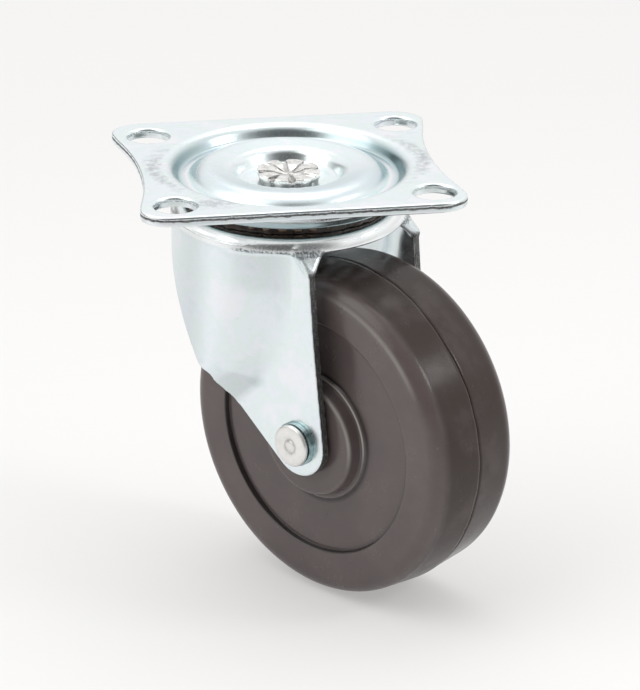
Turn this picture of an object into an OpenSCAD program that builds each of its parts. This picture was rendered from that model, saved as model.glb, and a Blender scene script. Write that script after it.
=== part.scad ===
// Swivel plate castor with a 76 mm (3 inch) solid rubber wheel.
//
// The origin is on the swivel axis, in the plane of the plate's mounting
// face, with +Z up: the castor hangs below z = 0. The plate's long side lies
// along X. The fork, the axle and the wheel are drawn in the fork's own
// frame, where the wheel trails toward +X and the axle lies along Y, and are
// turned about Z by swivel_angle.

/* [Mounting plate] */
// Length of the plate across its ears
plate_l = 71.8; // [68:0.2:90]
// Width of the plate
plate_w = 61.2; // [59:0.2:72]
// Thickness of the pressed sheet
plate_t = 2.2; // [1.8:0.1:2.4]
// Distance of each bolt hole's centre from the plate's short edge
bolt_margin_l = 7.6; // [6.8:0.1:8]
// Distance of each bolt hole's centre from the plate's long edge
bolt_margin_w = 8.2; // [7:0.1:8.6]
// How far the sheared outline lies off the bolt pattern's centre, along the plate
outline_off_l = -0.5; // [-1:0.1:1]
// The same across the plate
outline_off_w = 0.6; // [-1:0.1:1]
// Diameter of the bolt holes
bolt_hole_d = 9.4; // [6:0.1:10]
// How far each short end is drawn in at its middle
waist_depth = 3.4; // [1:0.1:4]
// Radius of the plate's corners
corner_r = 6.8; // [4:0.1:8]
// Rounding that the punch leaves round each bolt hole
punch_round = 0.45; // [0.2:0.05:0.6]

/* [Pressed bowl of the plate] */
// Radius at which the bowl starts to dip
bowl_r = 27.9; // [27.4:0.1:28.4]
// Depth of the groove below the mounting face
groove_depth = 3; // [2.8:0.1:3.2]
// Radius of the domed ring's crest
dome_r = 17.3; // [17:0.1:17.6]
// Fall of the ring's broad top toward the recess, in degrees
dish_slope = 9; // [5:0.5:12]
// Distance of the crest below the mounting face
dome_drop = 0.3; // [0.2:0.05:0.5]
// Depth of the centre recess below the mounting face
recess_depth = 4; // [3.8:0.1:4.2]

/* [Swivel head] */
// Diameter of the bearing balls, one eighth of an inch
ball_d = 3.175; // [3:0.025:3.2]
// Pitch radius of the upper balls
upper_pitch_r = 21.8; // [21.6:0.1:22]
// Number of upper balls
upper_balls_n = 42; // [36:1:42]
// Pitch radius of the lower balls
lower_pitch_r = 12.5; // [12.3:0.1:12.8]
// Number of lower balls
lower_balls_n = 24; // [20:1:24]
// Diameter of the kingpin's shank
kingpin_d = 9; // [8:0.25:9.5]
// Diameter of the kingpin's peened head
peen_d = 14.4; // [12:0.2:15]
// Height of the peened head above the recess
peen_h = 2.5; // [2:0.1:2.9]
// Number of lobes that the peening tool leaves
peen_lobes = 8; // [6:1:10]
// Working clearance of each ball in its races
ball_play = 0.03; // [0.02:0.01:0.06]

/* [Fork] */
// Turn of the fork about the swivel axis at rest, in degrees
swivel_angle = -52.7; // [-180:0.1:180]
// Thickness of the fork's sheet
fork_t = 2; // [1.8:0.1:2.2]
// Outer radius of the hood
hood_r = 26; // [25.8:0.1:26.4]
// Radius of the rolled edge between crown and hood
rim_round = 2.6; // [2.4:0.1:2.8]
// Height of the crown's lip below its rolled edge
lip_h = 1; // [0.8:0.1:2]
// Distance between the legs' inner faces
leg_gap = 32; // [31.4:0.2:33]
// Radius of the leg's rounded end about the axle
tab_r = 7.4; // [6.6:0.1:8]
// Height on the hood at which the pressed bulge ends
bulge_end_z = -47.2; // [-48:0.1:-46]

/* [Wheel and axle] */
// Diameter of the wheel
wheel_d = 76; // [73:0.5:77]
// Width of the wheel across its tyre
wheel_w = 25.5; // [22:0.5:27]
// Radius of the tyre's shoulders
shoulder_r = 3.6; // [2.5:0.1:4.5]
// Crown of the tread: how much each shoulder is lower than the parting line
tread_crown = 0.8; // [0.1:0.05:1]
// Radius at which the wheel's face steps in
face_step_r = 27; // [24:0.5:29]
// Depth of that step
face_step = 1.15; // [0.8:0.05:2]
// Radius of the hub
hub_r = 13; // [11:0.1:14]
// Length of the hub
hub_w = 30.4; // [29.6:0.1:31]
// Distance of the axle behind the swivel axis
trail = 19.84; // [19:0.1:21]
// Distance of the axle below the mounting face
axle_drop = 55.73; // [55:0.1:58]
// Diameter of the axle rivet
axle_d = 6; // [5:0.1:7]
// Outer diameter of the sleeve on which the wheel turns
sleeve_d = 8.4; // [8.2:0.1:9.4]
// Radial clearance between sleeve and hub
hub_play = 0.05; // [0.02:0.01:0.1]
// Radius of the axle's flat heads
axle_head_r = 4.8; // [4.4:0.1:5.2]
// Radius of the washers under the heads
washer_r = 5; // [4.8:0.1:5.6]
// Thickness of the washers
washer_t = 1.1; // [0.8:0.1:1.4]

/* [Hidden] */
$fn = 96;
eps = 0.01;

// Plate colours, steel colours and rubber as they look in daylight
zinc = [0.88, 0.91, 0.92];
nickel = [0.80, 0.78, 0.74];
rubber = [0.33, 0.30, 0.29];

// Arc steps in the revolved sheet profiles
arc_n = 7;

function arc(c, r, a0, a1, n = arc_n) =
    [for (i = [0:n]) let (a = a0 + (a1 - a0) * i / n) c + r * [cos(a), sin(a)]];
function reversed(v) = [for (i = [len(v) - 1:-1:0]) v[i]];
function unit(v) = v / norm(v);

// A closed outline whose corners are rounded: each entry is [x, y, radius].
// A corner's arc touches both of its sides.
function corner_arc(a, b, c, r, n) = let (
        u = unit(a - b), v = unit(c - b),
        half = acos(max(-1, min(1, u * v))) / 2,
        m = unit(u + v),
        centre = b + m * r / sin(half),
        p = b + u * r / tan(half),
        q = b + v * r / tan(half),
        a0 = atan2(p.y - centre.y, p.x - centre.x),
        a1 = atan2(q.y - centre.y, q.x - centre.x),
        turn = a1 - a0 > 180 ? a1 - a0 - 360 : a1 - a0 < -180 ? a1 - a0 + 360 : a1 - a0)
    arc(centre, r, a0, a0 + turn, n);
function rounded(pts, n = 6) = let (k = len(pts)) [for (i = [0:k - 1]) let (
        a = pts[(i + k - 1) % k], b = pts[i], c = pts[(i + 1) % k])
    each (b[2] == 0 ? [[b[0], b[1]]]
        : corner_arc([a[0], a[1]], [b[0], b[1]], [c[0], c[1]], b[2], n))];

// ---- Mounting plate -------------------------------------------------------

// Slopes of the bowl's wall, the dome's outer flank and the recess's wall, in degrees
bowl_slope = 60;
dome_slope = 53;
recess_slope = 62;
// Radii on the upper side: roll into the bowl, foot of the wall, dome, recess
bowl_roll = 3;
wall_foot = 1;
dome_round = 4.5;
recess_round = 2.6;
recess_round_r = 14.1;
recess_foot = 1.2;
// Centres that make each arc touch its neighbours
dome_centre = [dome_r, -dome_drop - dome_round];
dome_end = dome_centre + dome_round * [sin(dome_slope), cos(dome_slope)];
groove_round = (dome_end.y + groove_depth) / (1 - cos(dome_slope));
groove_in = dome_end.x + groove_round * sin(dome_slope);
roll_end = [bowl_r - bowl_roll * sin(bowl_slope), -bowl_roll * (1 - cos(bowl_slope))];
foot_z = -groove_depth + wall_foot * (1 - cos(bowl_slope));
groove_out = roll_end.x - (roll_end.y - foot_z) / tan(bowl_slope)
    - wall_foot * sin(bowl_slope);
// The dish falls straight from the crest's arc to the arc into the recess, and
// both centres lie on a line that is parallel to it
dish_from = dome_centre + (dome_round - recess_round) * [-sin(dish_slope), cos(dish_slope)];
recess_centre = [recess_round_r, dish_from.y - (dish_from.x - recess_round_r) * tan(dish_slope)];
dome_in = recess_centre + recess_round * [-sin(recess_slope), cos(recess_slope)];
recess_z = -recess_depth + recess_foot * (1 - cos(recess_slope));
recess_r = dome_in.x - (dome_in.y - recess_z) / tan(recess_slope)
    - recess_foot * sin(recess_slope);

// One side of the pressed sheet: off = 0 is the upper side, off = plate_t the
// lower. Arcs that bulge upward lose the thickness, the others gain it.
function bowl_side(off) = concat(
    [[bowl_r + 1, -off]],
    arc([bowl_r, -bowl_roll], bowl_roll - off, 90, 90 + bowl_slope),
    arc([groove_out, wall_foot - groove_depth], wall_foot + off, bowl_slope - 90, -90),
    arc([groove_in, groove_round - groove_depth], groove_round + off, -90, -90 - dome_slope),
    arc(dome_centre, dome_round - off, 90 - dome_slope, 90 + dish_slope),
    arc(recess_centre, recess_round - off, 90 + dish_slope, 90 + recess_slope),
    arc([recess_r, recess_foot - recess_depth], recess_foot + off, recess_slope - 90, -90),
    [[0, -recess_depth - off]]);

module plate_outline() {
    half_l = plate_l / 2;
    sag_span = plate_w / 2 - corner_r;
    waist_r = (sag_span * sag_span + waist_depth * waist_depth) / (2 * waist_depth);
    difference() {
        polygon(rounded([for (s = [[1, 1], [-1, 1], [-1, -1], [1, -1]])
            [s[0] * half_l, s[1] * plate_w / 2, corner_r]], 10));
        for (s = [-1, 1])
            translate([s * (half_l - waist_depth + waist_r), 0]) circle(waist_r, $fn = 360);
    }
}

module at_bolt_holes() {
    for (x = [-1, 1], y = [-1, 1])
        translate([x * (plate_l / 2 - bolt_margin_l), y * (plate_w / 2 - bolt_margin_w)])
            children();
}

module top_plate() {
    hole_r = bolt_hole_d / 2;
    color(zinc) difference() {
        union() {
            difference() {
                translate([outline_off_l, outline_off_w, -plate_t])
                    linear_extrude(plate_t) plate_outline();
                translate([0, 0, -plate_t - 1]) cylinder(r = bowl_r + 0.6, h = plate_t + 2);
            }
            rotate_extrude() polygon(concat(bowl_side(0), reversed(bowl_side(plate_t))));
        }
        at_bolt_holes() {
            translate([0, 0, -plate_t - 1]) cylinder(r = hole_r, h = plate_t + 2);
            translate([0, 0, -punch_round])
                cylinder(r1 = hole_r, r2 = hole_r + 2 * punch_round, h = 2 * punch_round);
        }
        translate([0, 0, -recess_depth - plate_t - 1])
            cylinder(r = kingpin_d / 2, h = plate_t + 2);
    }
}

// ---- Swivel head ----------------------------------------------------------

ball_r = ball_d / 2;
// The balls' groove is a little rounder than the ball
race_r = 1.1 * ball_r;
// Under side of the plate over the upper balls
upper_roof_z = groove_round - groove_depth
    - sqrt(pow(groove_round + plate_t, 2) - pow(groove_in - upper_pitch_r, 2));
upper_z = upper_roof_z - ball_r - ball_play;
upper_race_z = upper_z - ball_r - ball_play;
// Crown of the fork: its level outside the race, and its raised centre
race_dip = 0.2;
crown_z = upper_race_z + race_dip;
centre_gap = 0.7;
centre_z = -recess_depth - plate_t - centre_gap;
// Lower race
lower_roof_z = centre_z - fork_t + race_dip;
lower_z = lower_roof_z - ball_r - ball_play;
cup_race_z = lower_z - ball_r - ball_play;
cup_t = 1.6;
cup_z = cup_race_z + race_dip;
cup_seat_r = 8.2;
cup_seat_rise = 0.9;
cup_seat_z = cup_z + cup_seat_rise;
cup_lip_h = 1.6;
cup_lip_angle = 28;
cup_turn = 0.6;
cup_r = lower_pitch_r + ball_r + 1.4;
crown_bore_r = kingpin_d / 2 + 2.4;

module ball_row(n, pitch_r, z) {
    for (i = [0:n - 1]) rotate(360 * i / n) translate([pitch_r, 0, z]) sphere(ball_r);
}

module upper_balls() color([0.55, 0.52, 0.48]) ball_row(upper_balls_n, upper_pitch_r, upper_z);
module lower_balls() color([0.55, 0.52, 0.48]) ball_row(lower_balls_n, lower_pitch_r, lower_z);

// Angle on the race's arc at which it comes up to the flat beside it
race_half = acos(1 - race_dip / race_r);

module lower_race() {
    top = concat(
        [[kingpin_d / 2, cup_seat_z], [cup_seat_r, cup_seat_z],
            [cup_seat_r + cup_seat_rise, cup_z]],
        arc([lower_pitch_r, cup_race_z + race_r], race_r, -90 - race_half, -cup_lip_angle),
        [[cup_r, cup_z + cup_lip_h]]);
    under = [[cup_r + cup_t * 0.75, cup_z + cup_lip_h - 0.2],
        [cup_r + cup_turn, cup_z - cup_turn],
        [cup_r - cup_t + cup_turn, cup_z - cup_t], [cup_seat_r + cup_t, cup_z - cup_t],
        [cup_seat_r + cup_seat_rise - 0.2, cup_seat_z - cup_t],
        [kingpin_d / 2, cup_seat_z - cup_t]];
    color(zinc) rotate_extrude() polygon(concat(top, under));
}

// The kingpin is a rivet: its lower head carries the cup, its shoulder sets
// the distance between cup and plate, and its upper end is spread over the
// plate's recess by a tool that leaves a ring of lobes and radial flutes.
module kingpin() {
    shank_r = kingpin_d / 2;
    shoulder_r = shank_r + 1.2;
    foot_z = cup_seat_z - cup_t;
    foot_h = 2.6;
    plate_under = -recess_depth - plate_t;
    peen_r = peen_d / 2;
    lobe_r = 1.7;
    top_z = -recess_depth + peen_h;
    dish_r = 7;
    color(nickel) difference() {
        union() {
            translate([0, 0, foot_z]) cylinder(r = shank_r, h = -recess_depth - foot_z);
            translate([0, 0, cup_seat_z]) cylinder(r = shoulder_r, h = plate_under - cup_seat_z);
            rotate_extrude() polygon(concat([[0, foot_z], [0, foot_z - foot_h]],
                arc([shank_r + 2.1, foot_z - foot_h + 1], 1, -90, 0), [[shank_r + 3.1, foot_z]]));
            translate([0, 0, -recess_depth]) {
                cylinder(r = peen_r - 0.55, h = peen_h - 0.1);
                for (i = [0:peen_lobes - 1]) rotate(360 * (i + 0.5) / peen_lobes)
                    translate([peen_r - lobe_r, 0, 0.35]) cylinder(r = lobe_r, h = peen_h - 0.5);
            }
        }
        translate([0, 0, top_z + dish_r - 0.95]) sphere(dish_r);
        for (i = [0:peen_lobes - 1]) rotate(360 * i / peen_lobes)
            translate([1.3, 0, top_z - 1.15]) rotate([0, 78, 0])
                cylinder(r1 = 0.35, r2 = 1.05, h = peen_r);
    }
}

// ---- Fork -----------------------------------------------------------------

leg_in = leg_gap / 2;
leg_out = leg_in + fork_t;
hood_in = hood_r - fork_t;
rim_c = [hood_r - rim_round, crown_z - rim_round];
lip_z = rim_c.y - lip_h;
deep = -90;

module in_fork_frame() rotate([0, 0, swivel_angle]) children();

// Section of the crown: raised centre, ball race, flat, rolled rim and lip
module crown_section() {
    rise_r = 16.3;
    upper = concat(
        [[crown_bore_r, centre_z], [rise_r, centre_z], [rise_r + 1.3, crown_z + 0.12]],
        arc([upper_pitch_r, upper_race_z + race_r], race_r, -90 - race_half, -90 + race_half),
        arc(rim_c, rim_round, 90, 0), [[hood_r, lip_z]]);
    under = concat(
        [[hood_in, lip_z]], arc(rim_c, rim_round - fork_t, 0, 90, 4),
        [[rise_r + 1, crown_z - fork_t], [rise_r - 0.3, centre_z - fork_t - 0.1]],
        arc([lower_pitch_r, lower_roof_z - race_r], race_r, 90 - race_half, 90 + race_half),
        [[crown_bore_r, centre_z - fork_t]]);
    polygon(concat(upper, under));
}

// Side view of the fork, x behind the swivel axis and z up: the hood's raked
// front edge, the step where the bulge ends, the tab round the axle and the
// rear edge up to the leg's rounded top corner and the crown
rake_top = [-23.6, lip_z];
rake_mid = [-2.6, -41.4];
bulge_corner = [8.1, -47.3];
tab_root = [7, -56];
rear_bend = [24.6, -30];
rear_corner = [23.6, -14.2];
rear_shoulder = [18.9, -12];

module side_view() {
    c = [trail, -axle_drop];
    // Lines that touch the tab's circle: from the tab's root and up the rear
    d = c - tab_root;
    root_dir = atan2(d.y, d.x) - asin(tab_r / norm(d));
    rear_d = rear_bend - c;
    rear_dir = atan2(rear_d.y, rear_d.x) - acos(tab_r / norm(rear_d));
    root_touch = c + tab_r * [cos(root_dir - 90), sin(root_dir - 90)];
    rear_touch = c + tab_r * [cos(rear_dir), sin(rear_dir)];
    polygon(concat(
        rounded([[-hood_r - 4, -7, 0], [-hood_r - 4, lip_z, 0], [rake_top.x, rake_top.y, 0],
            [rake_mid.x, rake_mid.y, 14], [bulge_corner.x, bulge_corner.y, 0.8],
            [tab_root.x, tab_root.y, 1.5], [root_touch.x, root_touch.y, 0]]),
        arc(c, tab_r, root_dir - 90, rear_dir, 16),
        rounded([[rear_touch.x, rear_touch.y, 0], [rear_bend.x, rear_bend.y, 60],
            [rear_corner.x, rear_corner.y, 2], [rear_shoulder.x, rear_shoulder.y, 1],
            [rear_shoulder.x - 0.3, -7, 0]])));
}

// The bulge that runs the hood into the flat leg. Its side is a slope that
// leaves the leg at foot_x and its end a ramp that leaves the leg at foot_z:
// both lean inward with the distance from the leg's plane.
side_lean = 0.867;
end_lean = (8.8) / 7;

module bulge(foot_y, foot_x, foot_z, foot_round, far_y) {
    rise = far_y - foot_y;
    hull() {
        bulge_slab(foot_x, foot_z, foot_round, 2 * foot_y);
        for (s = [-1, 1]) translate([0, s * (far_y + 0.5), 0])
            bulge_slab(foot_x - side_lean * rise, foot_z + end_lean * rise, 0.6 * foot_round, 1);
    }
}

module bulge_slab(end_x, end_z, end_round, thick) {
    rotate([90, 0, 0]) linear_extrude(thick, center = true)
        polygon(rounded([[-hood_r - 6, 2, 0], [-hood_r - 6, end_z, 0],
            [end_x, end_z, end_round], [end_x, 2, 0]], 8));
}

// Everything inside the skirt's outer or inner surface
module skirt_solid(r, half_w, foot_x, foot_z, foot_round, x0) {
    intersection() {
        translate([0, 0, deep]) cylinder(r = r, h = -deep);
        bulge(half_w, foot_x, foot_z, foot_round, hood_r + 1);
    }
    translate([x0, -half_w, deep]) cube([hood_r + 20, 2 * half_w, -deep]);
}

// Where the bulge's side and its ramp leave the leg, outside and inside
side_foot = 16.5;
ramp_foot = bulge_end_z - end_lean * 7;
side_foot_in = side_foot - fork_t * (sqrt(1 + side_lean * side_lean) - side_lean);
ramp_foot_in = ramp_foot + fork_t * (sqrt(1 + end_lean * end_lean) - end_lean);

module skirt_and_legs() {
    intersection() {
        difference() {
            skirt_solid(hood_r, leg_out, side_foot, ramp_foot, 9, 0);
            skirt_solid(hood_in, leg_in, side_foot_in, ramp_foot_in, 8, -1);
        }
        rotate([90, 0, 0]) linear_extrude(3 * hood_r, center = true) side_view();
        // Stays under the crown's rolled rim
        rotate_extrude() polygon([[0, deep], [0, crown_z - fork_t / 2],
            [hood_in + 0.2, crown_z - fork_t / 2], [hood_in + 0.2, rim_c.y],
            [2 * hood_r, rim_c.y], [2 * hood_r, deep]]);
    }
}

// Web between the crown's lip and the top of a leg's rear edge
module gusset(s) {
    web_r = fork_t / 2;
    hull() for (p = [[18.3, -17, -11], [21.3, -13.2, -11.6], [22.6, -17, -15]])
        translate([p.x, s * p.y, p.z]) sphere(web_r, $fn = 24);
}

module swivel_fork() {
    color(zinc) in_fork_frame() difference() {
        union() {
            rotate_extrude() crown_section();
            skirt_and_legs();
            gusset(1);
            gusset(-1);
        }
        at_axle() cylinder(r = axle_d / 2 + 0.05, h = 3 * hood_r, center = true);
    }
}

// ---- Wheel and axle -------------------------------------------------------

// Z of the children becomes the axle's own direction, which is the fork's Y
module at_axle() translate([trail, 0, -axle_drop]) rotate([-90, 0, 0]) children();

head_t = 1;
head_neck = 0.35;
neck_r = 4;

// Flat head with a fine lip, on a short neck that stands on the washer
module axle_head() {
    z0 = leg_out + washer_t;
    translate([0, 0, z0]) cylinder(r = neck_r, h = head_neck);
    translate([0, 0, z0 + head_neck]) rotate_extrude() polygon(concat(
        [[0, 0]], [[axle_head_r, 0]], arc([axle_head_r - 0.3, head_t - 0.3], 0.3, 0, 90, 3),
        [[0.9, head_t], [0.6, head_t + 0.12], [0, head_t + 0.16]]));
}

module axle_rivet() {
    color(nickel) in_fork_frame() at_axle() {
        cylinder(r = axle_d / 2, h = 2 * (leg_out + washer_t) + eps, center = true);
        axle_head();
        mirror([0, 0, 1]) axle_head();
    }
}

module axle_sleeve() {
    color(zinc) in_fork_frame() at_axle() difference() {
        cylinder(r = sleeve_d / 2, h = leg_gap, center = true);
        cylinder(r = axle_d / 2 + 0.05, h = leg_gap + 2, center = true);
    }
}

module washer(s) {
    color(zinc) in_fork_frame() at_axle() translate([0, 0, s > 0 ? leg_out : -leg_out - washer_t])
        difference() {
            cylinder(r = washer_r, h = washer_t);
            translate([0, 0, -1]) cylinder(r = axle_d / 2 + 0.05, h = washer_t + 2);
        }
}

module near_washer() washer(-1);
module far_washer() washer(1);

// Half section of the wheel, radius and distance from its middle plane
parting_w = 0.8;
parting_depth = 0.35;

function wheel_half() = let (
        half = wheel_w / 2, r = wheel_d / 2, disc = half - face_step,
        edge = half - shoulder_r, base_r = hub_r + 1.7)
    concat(
        [[r - parting_depth, 0], [r, parting_w / 2]],
        arc([r - tread_crown - shoulder_r, edge], shoulder_r, 0, 90),
        arc([face_step_r + 0.5, half - 0.5], 0.5, 90, 180, 3),
        arc([face_step_r - 0.4, disc + 0.4], 0.4, 0, -90, 3),
        [[base_r, disc], [base_r - 0.25, disc + 0.55], [hub_r + 0.6, disc + 0.55]],
        arc([hub_r - 1.2, hub_w / 2 - 1.2], 1.2, 8, 90, 4),
        [[sleeve_d / 2 + hub_play, hub_w / 2]]);

module wheel() {
    half = wheel_half();
    color(rubber) in_fork_frame() at_axle() rotate_extrude()
        polygon(concat([for (p = reversed(half)) [p.x, -p.y]], [for (i = [1:len(half) - 1]) half[i]]));
}

top_plate();
kingpin();
lower_race();
upper_balls();
lower_balls();
swivel_fork();
axle_rivet();
axle_sleeve();
near_washer();
far_washer();
wheel();
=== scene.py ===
"""Swivel plate castor: detailed pieces over the CAD frame, studio and camera.

Lengths are written in millimetres and turned into metres where a mesh is
made. Plate, fork, kingpin and grease are distance fields (negative inside
the piece) meshed by surface nets; turned and moulded pieces are swept round
their axis. Fork pieces are written in the fork's own frame, in which the
wheel trails toward +X, and are turned to its rest angle at the end.
"""
import math

import bpy
import numpy as np
from mathutils import Matrix, Vector


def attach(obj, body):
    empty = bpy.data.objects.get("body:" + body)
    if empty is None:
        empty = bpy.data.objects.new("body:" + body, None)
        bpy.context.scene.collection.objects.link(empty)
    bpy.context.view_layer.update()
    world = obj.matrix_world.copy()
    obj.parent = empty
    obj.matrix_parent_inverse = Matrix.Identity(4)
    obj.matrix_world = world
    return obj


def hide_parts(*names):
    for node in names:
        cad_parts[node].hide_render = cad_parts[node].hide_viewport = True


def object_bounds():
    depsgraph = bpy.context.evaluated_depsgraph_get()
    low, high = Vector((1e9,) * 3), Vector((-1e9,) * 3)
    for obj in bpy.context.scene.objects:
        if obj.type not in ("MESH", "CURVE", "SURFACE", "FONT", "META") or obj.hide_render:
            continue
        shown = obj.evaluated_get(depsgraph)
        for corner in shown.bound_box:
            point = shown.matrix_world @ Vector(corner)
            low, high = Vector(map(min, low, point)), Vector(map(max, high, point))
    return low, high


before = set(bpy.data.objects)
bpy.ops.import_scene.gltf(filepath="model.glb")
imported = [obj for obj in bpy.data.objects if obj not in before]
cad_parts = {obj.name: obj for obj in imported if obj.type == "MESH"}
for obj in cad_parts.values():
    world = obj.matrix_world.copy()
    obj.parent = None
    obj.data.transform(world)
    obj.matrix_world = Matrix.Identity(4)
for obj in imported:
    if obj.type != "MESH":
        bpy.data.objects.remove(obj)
cad_box = [[float(v) for v in corner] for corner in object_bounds()]

MM = 0.001
SWIVEL = math.radians(-52.7)
TRAIL, AXLE_DROP = 19.84, 55.73


# Outlines and distance fields

def arc_point(centre, radius, angle):
    """Point on a circle, with the angle in degrees."""
    turn = math.radians(angle)
    return centre[0] + radius * math.cos(turn), centre[1] + radius * math.sin(turn)


def turn_arc(centre, radius, start, end, steps):
    return [arc_point(centre, radius, a) for a in np.linspace(start, end, steps)]


def rounded(points, steps=6):
    """Polygon from (x, y, radius) corners."""
    out = []
    n = len(points)
    for i, (x, y, radius) in enumerate(points):
        here = np.array((x, y))
        if not radius:
            out.append((x, y))
            continue
        u = np.array(points[i - 1][:2]) - here
        v = np.array(points[(i + 1) % n][:2]) - here
        u, v = u / np.linalg.norm(u), v / np.linalg.norm(v)
        half = math.acos(float(np.clip(u @ v, -1, 1))) / 2
        centre = here + (u + v) / np.linalg.norm(u + v) * radius / math.sin(half)
        start, end = (here + w * radius / math.tan(half) - centre for w in (u, v))
        a0, a1 = math.atan2(start[1], start[0]), math.atan2(end[1], end[0])
        turn = (a1 - a0 + math.pi) % (2 * math.pi) - math.pi
        for t in np.linspace(0, 1, steps):
            a = a0 + turn * t
            out.append((centre[0] + radius * math.cos(a), centre[1] + radius * math.sin(a)))
    return out


def round_max(a, b, radius):
    """Intersection whose convex edge has the given radius."""
    u, v = np.maximum(a + radius, 0), np.maximum(b + radius, 0)
    return np.minimum(np.maximum(a, b), -radius) + np.hypot(u, v)


def round_min(a, b, radius):
    """Union whose concave edge has the given radius."""
    return -round_max(-a, -b, radius)


def smooth_step(low, high, value):
    """Smooth rise from 0 at low to 1 at high, which may be the smaller of the two."""
    t = np.clip((value - low) / (high - low), 0, 1)
    return t * t * (3 - 2 * t)


def hump(value, centre, width):
    """Bell curve with its top, 1, at the centre."""
    return np.exp(-((value - centre) / width) ** 2)


def segment_distance(px, py, a, b):
    """Distance to the line from a to b."""
    ax, ay = px - a[0], py - a[1]
    bx, by = b[0] - a[0], b[1] - a[1]
    t = np.clip((ax * bx + ay * by) / (bx * bx + by * by), 0, 1)
    return np.hypot(ax - bx * t, ay - by * t)


def arc_distance(px, py, centre, radius, start, end):
    """Distance to an arc that runs from start to end, in degrees, start < end."""
    dx, dy = px - centre[0], py - centre[1]
    middle = math.radians((start + end) / 2)
    half = math.radians((end - start) / 2)
    turn = np.arctan2(dy, dx) - middle
    turn = np.abs((turn + math.pi) % (2 * math.pi) - math.pi)
    on_arc = np.abs(np.hypot(dx, dy) - radius)
    ends = [arc_point(centre, radius, a) for a in (start, end)]
    at_end = np.minimum(*(np.hypot(px - x, py - y) for x, y in ends))
    return np.where(turn <= half, on_arc, at_end)


def polygon_distance(px, py, points):
    """Signed distance to a closed polygon, negative inside."""
    best = np.full(px.shape, 1e9)
    inside = np.zeros(px.shape, bool)
    for a, b in zip(points, points[1:] + points[:1]):
        best = np.minimum(best, segment_distance(px, py, a, b))
        if a[1] != b[1]:
            crosses = (a[1] > py) != (b[1] > py)
            at = a[0] + (py - a[1]) * (b[0] - a[0]) / (b[1] - a[1])
            inside ^= crosses & (px < at)
    return np.where(inside, -best, best)


def triangle_distance(p, a, b, c):
    """Distance from points p (n, 3) to the triangle a b c."""
    a, b, c = (np.array(v, float) for v in (a, b, c))
    normal = np.cross(b - a, c - a)
    normal /= np.linalg.norm(normal)
    best = np.full(len(p), 1e9)
    within = np.ones(len(p), bool)
    for s, e in ((a, b), (b, c), (c, a)):
        side = e - s
        rel = p - s
        t = np.clip(rel @ side / (side @ side), 0, 1)
        best = np.minimum(best, np.linalg.norm(rel - t[:, None] * side, axis=1))
        within &= rel @ np.cross(normal, side) >= 0
    return np.where(within, np.abs((p - a) @ normal), best)


# Meshing

CORNERS = np.array([(i, j, k) for i in (0, 1) for j in (0, 1) for k in (0, 1)])
EDGES = [(a, b) for a in range(8) for b in range(a + 1, 8)
         if np.abs(CORNERS[a] - CORNERS[b]).sum() == 1]
# edge of a block in grid points, and how many blocks are worked out at once
BLOCK, BATCH = 8, 400
# a block is filled in where its middle is nearer to the surface than this many edges
BLOCK_REACH = 1.25
# reaches of the slopes for fitting points and for shading, in steps of the net
FIT_REACH, SHADE_REACH = 0.1, 0.35
FIT_ROUNDS = 3


def sample_field(field, low, shape, step):
    """Field values on a grid, worked out only in blocks near the surface."""
    blocks = [-(-n // BLOCK) for n in shape]
    values = np.empty([n * BLOCK for n in blocks])
    index = np.indices(blocks).reshape(3, -1).T
    centre = low + (index * BLOCK + (BLOCK - 1) / 2) * step
    coarse = field(centre)
    near = np.abs(coarse) < BLOCK * step * BLOCK_REACH
    tiles = values.reshape(blocks[0], BLOCK, blocks[1], BLOCK, blocks[2], BLOCK)
    tiles[:] = np.sign(coarse).reshape(blocks)[:, None, :, None, :, None]
    offsets = np.indices((BLOCK,) * 3).reshape(3, -1).T
    wanted = index[near]
    for start in range(0, len(wanted), BATCH):
        part = wanted[start:start + BATCH]
        points = low + (part[:, None] * BLOCK + offsets) * step
        got = field(points.reshape(-1, 3)).reshape(-1, BLOCK, BLOCK, BLOCK)
        for (i, j, k), block in zip(part, got):
            tiles[i, :, j, :, k, :] = block
    return values


def gradient(field, points, reach):
    """Slope of the field at each point, from values reach to either side."""
    slopes = []
    for axis in range(3):
        shift = np.zeros(3)
        shift[axis] = reach
        slopes.append(field(points + shift) - field(points - shift))
    return np.stack(slopes, axis=1) / (2 * reach)


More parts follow.
